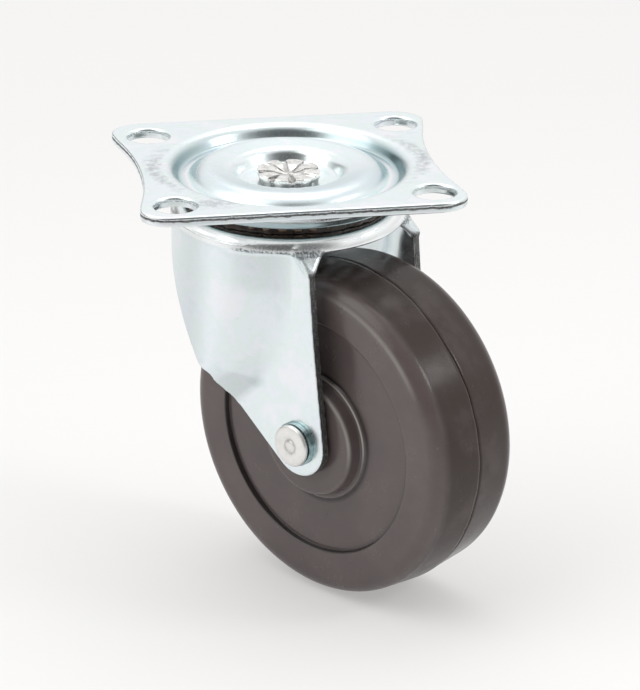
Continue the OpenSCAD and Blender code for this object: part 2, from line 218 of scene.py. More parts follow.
def surface_net(field, low, high, step):
    """Quad mesh of the field's zero surface: points, quads and normals."""
    low = np.array(low, float)
    shape = [int(math.ceil(s / step)) + 1 for s in np.array(high) - low]
    values = sample_field(field, low, shape, step)
    size = [n - 1 for n in values.shape]
    stack = [values[i:i + size[0], j:j + size[1], k:k + size[2]] for i, j, k in CORNERS]
    count = sum((v < 0).astype(np.int8) for v in stack)
    cells = np.argwhere((count > 0) & (count < 8))
    ids = np.full(size, -1)
    ids[tuple(cells.T)] = np.arange(len(cells))
    at_corner = np.stack([v[tuple(cells.T)] for v in stack], axis=1)
    total = np.zeros((len(cells), 3))
    hits = np.zeros(len(cells))
    for a, b in EDGES:
        va, vb = at_corner[:, a], at_corner[:, b]
        cut = (va < 0) != (vb < 0)
        t = np.where(cut, va / np.where(cut, va - vb, 1), 0)
        total += np.where(cut[:, None], CORNERS[a] + t[:, None] * (CORNERS[b] - CORNERS[a]), 0)
        hits += cut
    points = low + (cells + total / hits[:, None]) * step

    quads = []
    negative = values < 0
    for axis in range(3):
        u, v = [(1, 2), (2, 0), (0, 1)][axis]
        ahead = np.roll(negative, -1, axis)
        edges = np.argwhere(negative != ahead)
        ok = np.all(edges < np.array(size), axis=1) & (edges[:, u] > 0) & (edges[:, v] > 0)
        edges = edges[ok]
        ring = []
        for du, dv in ((0, 0), (-1, 0), (-1, -1), (0, -1)):
            cell = edges.copy()
            cell[:, u] += du
            cell[:, v] += dv
            ring.append(ids[tuple(cell.T)])
        ring = np.stack(ring, axis=1)
        flip = ~negative[tuple(edges.T)]
        ring[flip] = ring[flip][:, ::-1]
        quads.append(ring)
    quads = np.concatenate(quads)
    for _ in range(FIT_ROUNDS):
        slope = gradient(field, points, step * FIT_REACH)
        off = field(points)[:, None] * slope / np.maximum((slope ** 2).sum(1), 0.2)[:, None]
        points -= np.clip(off, -step / 2, step / 2)
    normals = gradient(field, points, step * SHADE_REACH)
    normals /= np.linalg.norm(normals, axis=1)[:, None]
    return points, quads, normals


def add_mesh(name, points, faces, material, turn=0.0, normals=None, marks=None):
    """Object from points in millimetres, turned about Z and shaded smooth.

    marks holds named values per point, which the materials read as attributes.
    """
    c, s = math.cos(turn), math.sin(turn)
    rot = np.array([[c, -s, 0], [s, c, 0], [0, 0, 1]])
    mesh = bpy.data.meshes.new(name)
    mesh.from_pydata((np.asarray(points) @ rot.T * MM).tolist(), [],
                     faces.tolist() if isinstance(faces, np.ndarray) else faces)
    mesh.shade_smooth()
    for mark, values in (marks or {}).items():
        layer = mesh.attributes.new(mark, "FLOAT", "POINT")
        layer.data.foreach_set("value", np.asarray(values, np.float32))
    if normals is not None:
        mesh.normals_split_custom_set_from_vertices((normals @ rot.T).tolist())
    mesh.materials.append(material)
    ob = bpy.data.objects.new(name, mesh)
    bpy.context.scene.collection.objects.link(ob)
    return ob


def place(ob, body, node):
    """Let the piece stand for a CAD node and move with its body."""
    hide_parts(node)
    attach(ob, body)


def lathe(profile, segments=192):
    """Closed (radius, height) profile swept round the axis: points and quads."""
    ring = np.array(profile, float)
    turn = np.arange(segments) * 2 * math.pi / segments
    points = np.empty((segments, len(ring), 3))
    points[..., 0] = np.cos(turn)[:, None] * ring[:, 0]
    points[..., 1] = np.sin(turn)[:, None] * ring[:, 0]
    points[..., 2] = ring[:, 1]
    ids = np.arange(segments * len(ring)).reshape(segments, len(ring))
    here, after = ids, np.roll(ids, -1, 0)
    quads = np.stack([here, after, np.roll(after, -1, 1), np.roll(here, -1, 1)], axis=-1)
    return points.reshape(-1, 3), quads.reshape(-1, 4)


def smooth_profile(corners, spacing):
    """Closed profile from (radius, height, rounding) corners, evenly divided."""
    out = []
    corner_line = rounded(corners, 7)
    for a, b in zip(corner_line, corner_line[1:] + corner_line[:1]):
        a, b = np.array(a), np.array(b)
        steps = max(1, int(np.linalg.norm(b - a) / spacing))
        out += [tuple(a + (b - a) * i / steps) for i in range(steps)]
    return out


def on_axle(points, side=1):
    """From a lathe's axis Z to the fork's axle; side -1 looks toward the near leg."""
    x, y, z = points.T
    return np.stack([TRAIL + x, side * z, -AXLE_DROP + side * y], axis=1)


# Mounting plate

PLATE_T = 2.2
PLATE_HALF = (35.9, 30.6)
PLATE_OFF = (-0.5, 0.6)
WAIST, CORNER_R, TIP_R = 3.4, 6.8, 1.2
HOLE_AT = (28.3, 22.4)
HOLE_R, PIN_R = 4.7, 4.5
GROOVE_Z, RECESS_Z = -3.0, -4.0
NOSE, NOSE_R = (24.52, -5.22), 1.0
# the step of the net keeps the piece under 200,000 triangles, and from its low corner
# a layer of points falls on the middle of the sheared edge
PLATE_STEP, PLATE_NET_LOW = 0.35, (-37.6, -31.2, -7.695)


def plate_outline(x, y):
    """Distance to the plate's edge: a rounded box whose ends are drawn in."""
    ax, ay = np.abs(x - PLATE_OFF[0]), np.abs(y - PLATE_OFF[1])
    dx, dy = ax - PLATE_HALF[0] + CORNER_R, ay - PLATE_HALF[1] + CORNER_R
    box = np.minimum(np.maximum(dx, dy), 0) + np.hypot(np.maximum(dx, 0), np.maximum(dy, 0)) - CORNER_R
    span = PLATE_HALF[1] - CORNER_R
    sag_r = (span ** 2 + WAIST ** 2) / (2 * WAIST)
    end = sag_r - np.hypot(ax - (PLATE_HALF[0] - WAIST + sag_r), ay)
    return round_max(box, end, TIP_R)


def hole_depth(x, y):
    """How far a point is inside the nearest bolt hole; negative in the metal."""
    return HOLE_R - np.hypot(np.abs(x) - HOLE_AT[0], np.abs(y) - HOLE_AT[1])


def plate_sheet(r, z):
    """Distance to the middle of the pressed sheet, less half its thickness."""
    h = PLATE_T / 2
    # centres and radii of the bends, from the flat edge inward
    roll, roll_r = (27.9, -3.0), 3.0 - h
    wall_foot, wall_foot_r = (23.87, -2.0), 1.0 + h
    groove, groove_r = (22.72, -0.71), 2.29 + h
    crest, crest_r = (17.3, -4.8), 4.5 - h
    bend, bend_r = (14.1, -3.383), 2.6 - h
    foot, foot_r = (10.106, -2.8), 1.2 + h
    middle = [
        segment_distance(r, z, (roll[0], -h), (60, -h)),
        arc_distance(r, z, roll, roll_r, 90, 150),
        segment_distance(r, z, arc_point(roll, roll_r, 150), arc_point(wall_foot, wall_foot_r, -30)),
        arc_distance(r, z, wall_foot, wall_foot_r, -90, -30),
        segment_distance(r, z, (groove[0], GROOVE_Z - h), (wall_foot[0], GROOVE_Z - h)),
        arc_distance(r, z, groove, groove_r, -143, -90),
        arc_distance(r, z, crest, crest_r, 37, 99),
        segment_distance(r, z, arc_point(crest, crest_r, 99), arc_point(bend, bend_r, 99)),
        arc_distance(r, z, bend, bend_r, 99, 152),
        segment_distance(r, z, arc_point(bend, bend_r, 152), arc_point(foot, foot_r, -28)),
        arc_distance(r, z, foot, foot_r, -90, -28),
        segment_distance(r, z, (0, RECESS_Z - h), (foot[0], RECESS_Z - h)),
    ]
    return np.minimum.reduce(middle) - h


def plate_field(p):
    x, y, z = p.T
    r = np.hypot(x, y)
    sheet = plate_sheet(r, z)
    upper = z > -PLATE_T / 2
    cut = round_max(sheet, plate_outline(x, y), np.where(upper, 0.5, 0.3))
    cut = round_max(cut, hole_depth(x, y), np.where(upper, 0.6, 0.25))
    # rolled nose of the bowl, outside the balls
    nose = np.hypot(r - NOSE[0], z - NOSE[1]) - NOSE_R
    cut = round_min(cut, nose, 0.9)
    return np.maximum(cut, PIN_R - r)


# Fork

SHEET = 2.0
HOOD_R, LEG_OUT, RIM_R = 26.0, 18.0, 3.2
CROWN_Z, CENTRE_Z, LIP_Z = -8.1, -6.95, -11.7
CROWN_BORE_R, AXLE_BORE_R, TAB_R = 6.5, 3.1, 7.65
# the cut at the bulge's foot leans 41 degrees: its normal along the leg and out of it
CREASE_RUN, CREASE_RISE = 0.7556, 0.6551
# middle of the web between crown and leg, on the far side; the near one mirrors it
GUSSET = ((18.3, 17, -11), (21.3, 13.2, -11.6), (22.6, 17, -15))
FORK_STEP = 0.385


def side_view():
    """Outline of the hood and leg seen from the side."""
    axle = (TRAIL, -AXLE_DROP)
    root, bend = np.array((1.5, -51.2)), np.array((24.4, -31.0))
    # directions from the axle to where both edges touch the round tab
    d = np.array(axle) - root
    root_dir = math.degrees(math.atan2(d[1], d[0]) - math.asin(TAB_R / np.linalg.norm(d))) - 90
    d = bend - np.array(axle)
    rear_dir = math.degrees(math.atan2(d[1], d[0]) - math.acos(TAB_R / np.linalg.norm(d)))
    lower = rounded([(-32, -7, 0), (-32, LIP_Z, 0), (-23.6, LIP_Z, 0.5), (-2.6, -41.4, 5),
                     (0.2, -42.8, 1.5), (*root, 0.8), (*arc_point(axle, TAB_R, root_dir), 0)])
    tab_arc = turn_arc(axle, TAB_R, root_dir, rear_dir, 30)
    upper = rounded([(*tab_arc[-1], 0), (*bend, 60), (22.9, -14.4, 2), (18.9, -12, 1.0), (18.6, -7, 0)])
    return lower + tab_arc[1:-1] + upper


SIDE_VIEW = side_view()
# where the bulge meets the flat of the leg
CREASE = rounded([(-40, 20, 0), (16.5, 20, 0), (16.5, -22, 15), (12.3, -36, 12), (9.3, -44.2, 6),
                  (1.5, -51.2, 0), (-6.5, -58.4, 0), (-40, -58.4, 0)])


def crown_sheet(r, z):
    """Distance to the pressed crown: race for the upper balls, rim and lip."""
    h = SHEET / 2
    rim = (HOOD_R - RIM_R, CROWN_Z - RIM_R)
    chain = [(CROWN_BORE_R, CENTRE_Z - h), (16.6, CENTRE_Z - h), (18.3, CROWN_Z + 0.15 - h),
             (20.3, CROWN_Z - h), (21.0, CROWN_Z - 0.17 - h), (21.8, CROWN_Z - 0.22 - h),
             (22.4, CROWN_Z - 0.15 - h), (rim[0], CROWN_Z - h)]
    parts = [segment_distance(r, z, a, b) for a, b in zip(chain, chain[1:])]
    parts.append(arc_distance(r, z, rim, RIM_R - h, 0, 90))
    parts.append(segment_distance(r, z, (HOOD_R - h, rim[1]), (HOOD_R - h, LIP_Z - 1)))
    sheet = np.minimum.reduce(parts) - h
    sheet = round_max(sheet, LIP_Z - z, 0.5)
    return round_max(sheet, CROWN_BORE_R - r, 0.3)


def bulge_solid(x, y, z):
    """Outer form of the leg: a flat slab with the hood's bulge running into it."""
    ay = np.abs(y)
    rise = CREASE_RUN * polygon_distance(x, z, CREASE) + CREASE_RISE * (ay - LEG_OUT)
    up = smooth_step(-44, -34, z)
    hood = round_max(np.hypot(x, y) - HOOD_R, rise, 2.2 + 0.8 * up)
    slab = np.maximum(ay - LEG_OUT, -8 - x)
    return round_min(hood, slab, 0.9 + 1.6 * up)


def gusset_distance(x, y, z):
    return triangle_distance(np.stack([x, np.abs(y), z], axis=1), *GUSSET) - SHEET / 2


def fork_field(p):
    x, y, z = p.T
    r = np.hypot(x, y)
    crown = crown_sheet(r, z)
    leg = np.abs(bulge_solid(x, y, z) + SHEET / 2) - SHEET / 2
    side = polygon_distance(x, z, SIDE_VIEW)
    leg = round_max(leg, side, 0.35)
    leg = np.maximum(leg, z - (CROWN_Z - 2.4))
    leg = np.maximum(leg, AXLE_BORE_R - np.hypot(x - TRAIL, z + AXLE_DROP))
    fork = round_min(crown, leg, 0.8)
    return round_min(fork, gusset_distance(x, y, z), 0.7)


# Materials

def node_tree(owner):
    owner.use_nodes = True
    tree = owner.node_tree
    tree.nodes.clear()
    return tree


def fill_ramp(node, stops):
    """Give a colour ramp its stops, each a position and a colour."""
    cells = node.color_ramp.elements
    while len(cells) < len(stops):
        cells.new(0.5)
    for cell, (at, color) in zip(cells, stops):
        cell.position = at
        cell.color = (*color, 1)


class Finish:
    """A material under construction; inputs take numbers, colours or sockets."""

    def __init__(self, name):
        self.material = bpy.data.materials.new(name)
        self.tree = node_tree(self.material)
        self.where = self.node("ShaderNodeTexCoord").outputs["Object"]

    def node(self, kind, inputs=None, **settings):
        node = self.tree.nodes.new(kind)
        for key, value in settings.items():
            setattr(node, key, value)
        for key, value in (inputs or {}).items():
            if isinstance(value, bpy.types.NodeSocket):
                self.tree.links.new(value, node.inputs[key])
            else:
                node.inputs[key].default_value = value
        return node

    def noise(self, size, detail, rough):
        """Noise whose blotches are about size millimetres wide."""
        return self.node("ShaderNodeTexNoise", {
            "Vector": self.where, "Scale": 1 / (size * MM),
            "Detail": detail, "Roughness": rough}).outputs["Fac"]

    def mark(self, name):
        """Value that the mesh holds for each point under this name."""
        return self.node("ShaderNodeAttribute", attribute_name=name).outputs["Fac"]

    def math(self, operation, a, b, clamp=False):
        return self.node("ShaderNodeMath", {0: a, 1: b}, operation=operation,
                         use_clamp=clamp).outputs[0]

    def times(self, a, b, clamp=False):
        return self.math("MULTIPLY", a, b, clamp)

    def plus(self, a, b):
        return self.math("ADD", a, b)

    def map(self, value, low, high, to_low=0.0, to_high=1.0):
        """Smooth step from to_low, at low, to to_high, at high."""
        return self.node("ShaderNodeMapRange", {
            "Value": value, "From Min": low, "From Max": high,
            "To Min": to_low, "To Max": to_high}, interpolation_type="SMOOTHSTEP").outputs[0]

    def ramp(self, value, stops):
        node = self.node("ShaderNodeValToRGB", {"Fac": value})
        fill_ramp(node, stops)
        return node.outputs["Color"]

    def mix(self, amount, a, b):
        node = self.node("ShaderNodeMix", data_type="RGBA")
        for socket, value in ((node.inputs[0], amount), (node.inputs[6], a), (node.inputs[7], b)):
            if isinstance(value, bpy.types.NodeSocket):
                self.tree.links.new(value, socket)
            else:
                socket.default_value = value if socket == node.inputs[0] else (*value, 1)
        return node.outputs[2]

    def bump(self, height, depth, normal=None):
        """Relief of about depth millimetres for a height that runs from 0 to 1."""
        inputs = {"Height": height, "Distance": depth * MM}
        if normal:
            inputs["Normal"] = normal
        return self.node("ShaderNodeBump", inputs).outputs[0]

    def shade(self, **inputs):
        """Finish the material with a shader and its output."""
        names = {"color": "Base Color", "metal": "Metallic", "rough": "Roughness",
                 "normal": "Normal", "spec": "Specular IOR Level"}
        values = {names[k]: (*v, 1) if isinstance(v, tuple) else v for k, v in inputs.items()}
        shader = self.node("ShaderNodeBsdfPrincipled", values)
        self.node("ShaderNodeOutputMaterial", {"Surface": shader.outputs[0]})
        return self.material


def bright_zinc(name):
    """Blue-white passivated zinc: cloudy tint, film bands, press marks, torn edges, painted highlights
    and painted shade.
    """
    f = Finish(name)
    cloud = f.noise(11, 3, 0.6)
    tint = f.ramp(cloud, [(0.28, (0.77, 0.86, 0.86)), (0.42, (0.87, 0.92, 0.96)),
                          (0.52, (0.84, 0.92, 0.91)), (0.62, (0.91, 0.93, 0.97)),
                          (0.78, (0.93, 0.95, 0.94))])
    # painted shade: the dome's colour is dulled, most at its front, to damp its reflection
    dome = f.mark("dome")
    tint = f.mix(f.times(dome, f.map(f.noise(16, 2, 0.5), 0.35, 0.65, 0.55, 0.90)), tint,
                 (0.66, 0.75, 0.79))
    bands = f.plus(f.mark("ring"), f.times(f.noise(9, 2, 0.5), 0.3))
    film = f.ramp(bands, [(0.30, (0.86, 0.94, 0.93)), (0.42, (0.52, 0.76, 0.78)),
                          (0.54, (0.94, 0.93, 0.93)), (0.66, (0.80, 0.78, 0.86)),
                          (0.78, (0.55, 0.76, 0.78)), (0.92, (0.93, 0.95, 0.94))])
    color = f.mix(f.times(f.mark("film"), 0.75), tint, film)
    # painted highlight: the crown rim and the plate's lower edge and underside are whitened
    color = f.mix(f.mark("painted_highlight"), color, (0.98, 1.0, 1.0))
    # painted dark reflection on the bowl's outer wall and painted shade under the bowl's nose
    color = f.mix(f.times(f.mark("teal_painted_shade"), 0.85), color, (0.20, 0.33, 0.35))
    grain = f.noise(0.25, 4, 0.7)
    speck = f.map(f.noise(0.55, 2, 0.6), 0.69, 0.75)
    color = f.mix(f.times(speck, 0.35), color, (0.42, 0.46, 0.47))
    # dull grey smears with fine flecks, where the sheet was pinched; on the fork's web the grey is a
    # painted dark reflection
    smear_and_dark_reflection = f.mark("smear_and_dark_reflection")
    dull = f.map(f.plus(f.noise(1.9, 5, 0.75), f.times(smear_and_dark_reflection, 0.22)), 0.52, 0.80)
    dull = f.times(dull, smear_and_dark_reflection, True)
    color = f.mix(f.times(dull, 0.75), color, (0.45, 0.46, 0.49))
    # sheared metal: grey, torn along the sheet's thickness
    torn = f.noise(0.22, 5, 0.8)
    sheared = f.mark("sheared")
    raw = f.ramp(torn, [(0.38, (0.02, 0.02, 0.02)), (0.50, (0.12, 0.12, 0.12)),
                        (0.66, (0.62, 0.62, 0.60))])
    ragged = f.map(f.plus(sheared, f.times(f.noise(0.35, 5, 0.85), 1.5)), 1.05, 1.50)
    color = f.mix(ragged, color, raw)
    # marks of the press tool: dark flecks where the sheet was rubbed; on the fork's web the flecks are a
    # painted dark reflection
    rubbed_and_dark_reflection = f.mark("rubbed_and_dark_reflection")
    fleck = f.map(f.plus(f.noise(0.42, 5, 0.8), f.times(rubbed_and_dark_reflection, 0.30)), 0.72, 0.86)
    color = f.mix(f.times(fleck, f.times(rubbed_and_dark_reflection, 1.4, True)), color,
                  (0.16, 0.18, 0.20))
    rough = f.plus(f.map(grain, 0.3, 0.7, 0.19, 0.28),
                   f.times(f.math("MAXIMUM", ragged, f.times(rubbed_and_dark_reflection, 0.4)), 0.3))
    rough = f.plus(rough, f.times(dome, 0.08))
    normal = f.bump(f.noise(3.2, 2, 0.5), 0.012)
    normal = f.bump(grain, 0.0035, normal)
    normal = f.bump(f.times(f.noise(0.5, 4, 0.8), smear_and_dark_reflection), 0.03, normal)
    normal = f.bump(f.times(torn, ragged), 0.20, normal)
    normal = f.bump(f.times(fleck, rubbed_and_dark_reflection), 0.05, normal)
    return f.shade(color=color, metal=1.0, rough=rough, normal=normal)


def peened_steel(name):
    """Nickel-grey head metal with worked facets, pits and a darker colour low on the head."""
    f = Finish(name)
    cloud = f.noise(1.4, 4, 0.65)
    color = f.ramp(cloud, [(0.30, (0.60, 0.59, 0.57)), (0.50, (0.80, 0.79, 0.77)),
                           (0.70, (0.92, 0.91, 0.89))])
    pit = f.map(f.noise(0.35, 4, 0.75), 0.62, 0.72)
    color = f.mix(f.times(pit, 0.55), color, (0.20, 0.19, 0.17))
    color = f.mix(f.times(f.mark("darkening"), 0.85), color, (0.16, 0.17, 0.17))
    rough = f.map(cloud, 0.3, 0.7, 0.20, 0.36)
    normal = f.bump(f.noise(0.9, 3, 0.6), 0.06)
    normal = f.bump(pit, 0.03, normal)
    return f.shade(color=color, metal=1.0, rough=rough, normal=normal)


def head_nickel(name):
    """Off-white nickel of the axle heads, with faint turning rings and nicks."""
    f = Finish(name)
    cloud = f.noise(2.6, 3, 0.6)
    color = f.ramp(cloud, [(0.30, (0.80, 0.79, 0.75)), (0.52, (0.90, 0.89, 0.86)),
                           (0.72, (0.95, 0.94, 0.91))])
    nick = f.map(f.noise(0.45, 3, 0.7), 0.70, 0.76)
    color = f.mix(f.times(nick, 0.6), color, (0.30, 0.30, 0.29))
    color = f.mix(f.times(f.mark("darkening"), 0.7), color, (0.35, 0.35, 0.33))
    normal = f.bump(f.noise(0.8, 3, 0.6), 0.012)
    return f.shade(color=color, metal=0.9, rough=f.map(cloud, 0.3, 0.7, 0.30, 0.42), normal=normal)


def blue_zinc(name):
    """Washers: zinc with a strong blue-green film."""
    f = Finish(name)
    cloud = f.noise(1.8, 3, 0.6)
    color = f.ramp(cloud, [(0.32, (0.18, 0.27, 0.28)), (0.50, (0.34, 0.46, 0.47)),
                           (0.66, (0.55, 0.66, 0.68))])
    return f.shade(color=color, metal=1.0, rough=f.map(cloud, 0.3, 0.7, 0.22, 0.4),
                   normal=f.bump(f.noise(0.4, 3, 0.6), 0.01))


def oiled_steel(name, color, rough):
    """Ground steel under a thin cloudy film of oil."""
    f = Finish(name)
    cloud = f.noise(1.2, 3, 0.6)
    dark = tuple(c * 0.55 for c in color)
    return f.shade(color=f.ramp(cloud, [(0.35, dark), (0.62, color)]), metal=0.95,
                   rough=f.map(cloud, 0.3, 0.7, rough, rough + 0.15),
                   normal=f.bump(f.noise(0.5, 3, 0.6), 0.01))


def bearing_grease(name):
    """Dark brown grease with a wet skin."""
    f = Finish(name)
    cloud = f.noise(1.6, 4, 0.6)
    color = f.ramp(cloud, [(0.35, (0.010, 0.007, 0.005)), (0.60, (0.035, 0.020, 0.013)),
                           (0.75, (0.075, 0.040, 0.024))])
    return f.shade(color=color, rough=f.map(cloud, 0.3, 0.7, 0.22, 0.38), spec=0.45,
                   normal=f.bump(f.noise(0.7, 3, 0.6), 0.12))


def moulded_rubber(name):
    """Hard rubber, brown-grey and satin: mould bloom, rolling scuffs, dust, painted shade, painted
    highlights.
    """
    f = Finish(name)
    cloud = f.noise(14, 4, 0.6)
    color = f.ramp(cloud, [(0.30, (0.106, 0.083, 0.081)), (0.50, (0.121, 0.095, 0.092)),
                           (0.70, (0.137, 0.110, 0.104))])
    # painted shade in the corners of the recess and round the hub; a dark joint along the parting line
    color = f.mix(f.times(f.mark("line"), 0.85), color, (0.018, 0.014, 0.013))
    tread = f.mark("tread")
    # painted shade: a darker band along the tread beside each shoulder
    color = f.mix(f.times(f.mark("band"), 0.7), color, (0.040, 0.030, 0.028))
    scuff = f.map(f.noise(9.0, 4, 0.55), 0.38, 0.70)
    color = f.mix(f.times(tread, f.map(scuff, 0.0, 1.0, 1.0, 0.65)), color,
                  (0.052, 0.037, 0.032))
    # painted highlights on the edges of the hub, its step and the shoulder
    color = f.mix(f.mark("painted_edge_highlight"), color, (0.50, 0.47, 0.43))
    dust = f.map(f.noise(0.9, 4, 0.75), 0.64, 0.74)
    color = f.mix(f.times(dust, 0.22), color, (0.24, 0.21, 0.19))
    pit = f.map(f.noise(1.5, 2, 0.5), 0.74, 0.79)
    color = f.mix(f.times(pit, 0.6), color, (0.035, 0.028, 0.026))
    rough = f.plus(f.map(f.noise(7, 4, 0.6), 0.3, 0.7, 0.17, 0.28),
                   f.times(dust, 0.15))
    normal = f.bump(f.noise(0.22, 3, 0.6), 0.006)
    normal = f.bump(f.noise(9, 3, 0.5), 0.05, normal)
    normal = f.bump(f.math("SUBTRACT", 1.0, pit), 0.04, normal)
    # the tread is duller than the moulded faces
    shine = f.math("SUBTRACT", 0.5, f.times(tread, 0.26))
    return f.shade(color=color, rough=rough, spec=shine, normal=normal)


plate_zinc = bright_zinc("plate_zinc")
fork_zinc = bright_zinc("fork_zinc")
race_zinc = bright_zinc("race_zinc")
washer_zinc = blue_zinc("washer_zinc")
kingpin_metal = peened_steel("kingpin_metal")
head_metal = head_nickel("head_metal")
ball_metal = oiled_steel("ball_metal", (0.15, 0.105, 0.08), 0.14)
sleeve_metal = oiled_steel("sleeve_metal", (0.55, 0.56, 0.56), 0.28)
grease = bearing_grease("grease")
rubber = moulded_rubber("rubber")

NODE_FINISH = {
    "top_plate": plate_zinc, "kingpin": kingpin_metal, "lower_race": race_zinc,
    "upper_balls": ball_metal, "lower_balls": ball_metal, "swivel_fork": fork_zinc,
    "axle_rivet": head_metal, "axle_sleeve": sleeve_metal, "near_washer": washer_zinc,
    "far_washer": washer_zinc, "wheel": rubber,
}
for node_name, node_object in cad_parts.items():
    node_object.data.materials.clear()
    node_object.data.materials.append(NODE_FINISH[node_name])


# Plate and fork pieces

def make_plate():
    points, quads, normals = surface_net(plate_field, PLATE_NET_LOW, (36.6, 32.4, 1.0), PLATE_STEP)
    x, y, z = points.T
    r = np.hypot(x, y)
    waver = 0.04 * np.sin(0.9 * x + 0.4 * y) + 0.03 * np.sin(2.3 * x - 1.7 * y)
    band = smooth_step(-1.35, -1.0, z + waver) * smooth_step(-0.45, -0.7, z + waver)
    cut = (smooth_step(-0.22, -0.04, plate_outline(x, y))
           + 0.45 * smooth_step(-0.22, -0.04, hole_depth(x, y)))
    bearing = np.arctan2(y, np.abs(x))
    # painted dark reflection on the bowl's outer wall, strongest toward the sides, and painted shade
    # under its nose
    wall_dark_reflection = 1.1 * hump(r, 25.0, 1.0) * (0.35 + 0.65 * np.cos(bearing) ** 2) * (z > -3.4)
    under_bowl_shade = 0.75 * smooth_step(-3.8, -4.8, z) * (r > 23)
    beside_bowl = hump(r + 3 * np.abs(bearing), 30.3, 2.2) * hump(bearing, 0, 0.55)
    near_corner = 0.9 * hump(x, -20, 8) * hump(y, -22.5, 3.5)
    marks = {
        "sheared": cut * band,
        # painted dark reflection and painted shade
        "teal_painted_shade": np.maximum(wall_dark_reflection, under_bowl_shade),
        "ring": (r - 20.2) / 6,
        # painted highlight on the plate's lower edge and underside
        "painted_highlight": smooth_step(-1.9, -2.1, z) * (r > 26),
        # painted shade on the dome, strongest at its front
        "dome": (smooth_step(22.5, 20.5, r) * smooth_step(12.5, 14.5, r)
                 * (0.25 + 0.75 * smooth_step(6, -12, y))),
        "film": np.clip(hump(r, 22.9, 1.5) + 0.5 * hump(r, 11.4, 1.0), 0, 1),
        "rubbed_and_dark_reflection": 0.30 * hump(r, 26.8, 0.9),
        "smear_and_dark_reflection": beside_bowl + near_corner,
    }
    piece = add_mesh("pressed_plate", points, quads, plate_zinc, 0, normals, marks)
    place(piece, "plate", "top_plate")


def make_fork():
    points, quads, normals = surface_net(fork_field, (-27.5, -27.5, -65), (29, 27.5, -5), FORK_STEP)
    x, y, z = points.T
    r = np.hypot(x, y)
    side = polygon_distance(x, z, SIDE_VIEW)
    edge = np.where(z < LIP_Z - 0.5, side, np.where(side > 0.3, LIP_Z - z, -9))
    # the web is painted grey as a painted dark reflection, through the two marks below
    web_dark_reflection = smooth_step(0.55, 0.1, gusset_distance(x, y, z)) * (z < -9.5)
    over_leg = smooth_step(9.0, 15.0, np.abs(y)) * hump(z, -11.4, 0.8)
    bulge_foot = smooth_step(-44, -47, z) * (np.abs(y) > 18.3)
    marks = {
        "sheared": smooth_step(-0.12, -0.01, edge) * np.where(x > 10, smooth_step(-13.0, -16.5, z), 1),
        "film": 0.5 * hump(z, -8.4, 0.8) + 0.3 * bulge_foot,
        "ring": 0.30 + 0.004 * z,
        # painted highlight on the crown rim
        "painted_highlight": smooth_step(-12.0, -11.0, z) * (r > 22),
        "rubbed_and_dark_reflection": np.clip(over_leg * smooth_step(22.8, 24.2, r) * (0.3 + 0.7 * smooth_step(4, 9, x))
                          + 0.45 * web_dark_reflection, 0, 1),
        "smear_and_dark_reflection": 0.5 * web_dark_reflection,
    }
    piece = add_mesh("pressed_fork", points, quads, fork_zinc, SWIVEL, normals, marks)
    place(piece, "fork", "swivel_fork")


# Kingpin, races, balls and grease

PIN_TOP, PIN_LOBES = -1.5, 8
COLLAR_R, FOOT_R, FOOT_H = 5.7, 7.6, 2.6
CUP_Z, CUP_SEAT_Z, CUP_T = -11.735, -10.835, 1.6
CUP_BORE_R, CUP_GROOVE_R = 4.55, 1.746
BALL_R = 3.175 / 2
UPPER_COUNT, UPPER_PITCH_R, UPPER_Z = 42, 21.8, -6.723
LOWER_COUNT, LOWER_PITCH_R, LOWER_Z = 24, 12.5, -10.317
GREASE_R, GREASE_HALF, GREASE_TOP = 21.2, 2.0, -4.4
PIN_STEP, GREASE_STEP = 0.17, 0.3


def kingpin_field(p):
    """Rivet whose upper end is spread into lobes with radial flutes between them."""
    x, y, z = p.T
    r, a = np.hypot(x, y), np.arctan2(y, x)
    uneven = 0.12 * np.sin(3 * a + 0.7) + 0.08 * np.sin(5 * a + 2.1)
    rim = 6.45 + 0.70 * np.abs(np.sin(PIN_LOBES / 2 * a)) ** 0.8 + 0.5 * uneven
    rim -= 0.5 * smooth_step(-2.3, -3.8, z)
    dish = 0.95 * np.clip(1 - (r / 3.7) ** 2, 0, 1)
    head = round_max(r - rim, z - (PIN_TOP - dish + 0.5 * uneven), 0.25)
    head = np.maximum(head, RECESS_Z - 0.02 - z)
    pitch = 2 * math.pi / PIN_LOBES
    number = np.round(a / pitch)
    off = a - number * pitch + 0.05 * np.sin(number * 2.3)
    along, across = r * np.cos(off), r * np.sin(off)
    depth = 0.16 * np.sin(number * 1.9 + 0.4)
    flute_z = PIN_TOP - 1.12 + 0.2126 * (along - 1.3) - depth
    flute = 0.20 + 0.095 * along - np.hypot(across, z - flute_z)
    head = round_max(head, flute, 0.16)
    head = round_max(head, -(np.hypot(across, (z - PIN_TOP) * 1.2) - 0.34 - 0.02 * along), 0.1)
    foot_z = CUP_SEAT_Z - CUP_T
    shank = np.maximum(r - PIN_R, np.maximum(z - (PIN_TOP - 1), foot_z - z))
    collar = np.maximum(r - COLLAR_R, np.maximum(z - (RECESS_Z - PLATE_T), CUP_SEAT_Z - z))
    foot = round_max(r - FOOT_R, foot_z - FOOT_H - z, 0.9)
    foot = round_max(foot, z - foot_z, 0.15)
    return np.minimum.reduce([head, shank, collar, foot])


def make_kingpin():
    points, quads, normals = surface_net(kingpin_field, (-8, -8, -15.5), (8, 8, -1), PIN_STEP)
    x, y, z = points.T
    r = np.hypot(x, y)
    # darker toward the foot of the head, low in the plate's recess
    low = smooth_step(-2.1, -3.2, z) * (r > 4.8)
    darkening = np.clip(0.75 * low + 0.35 * smooth_step(-1.9, -2.5, z), 0, 1)
    piece = add_mesh("peened_kingpin", points, quads, kingpin_metal, 0, normals, {"darkening": darkening})
    place(piece, "plate", "kingpin")


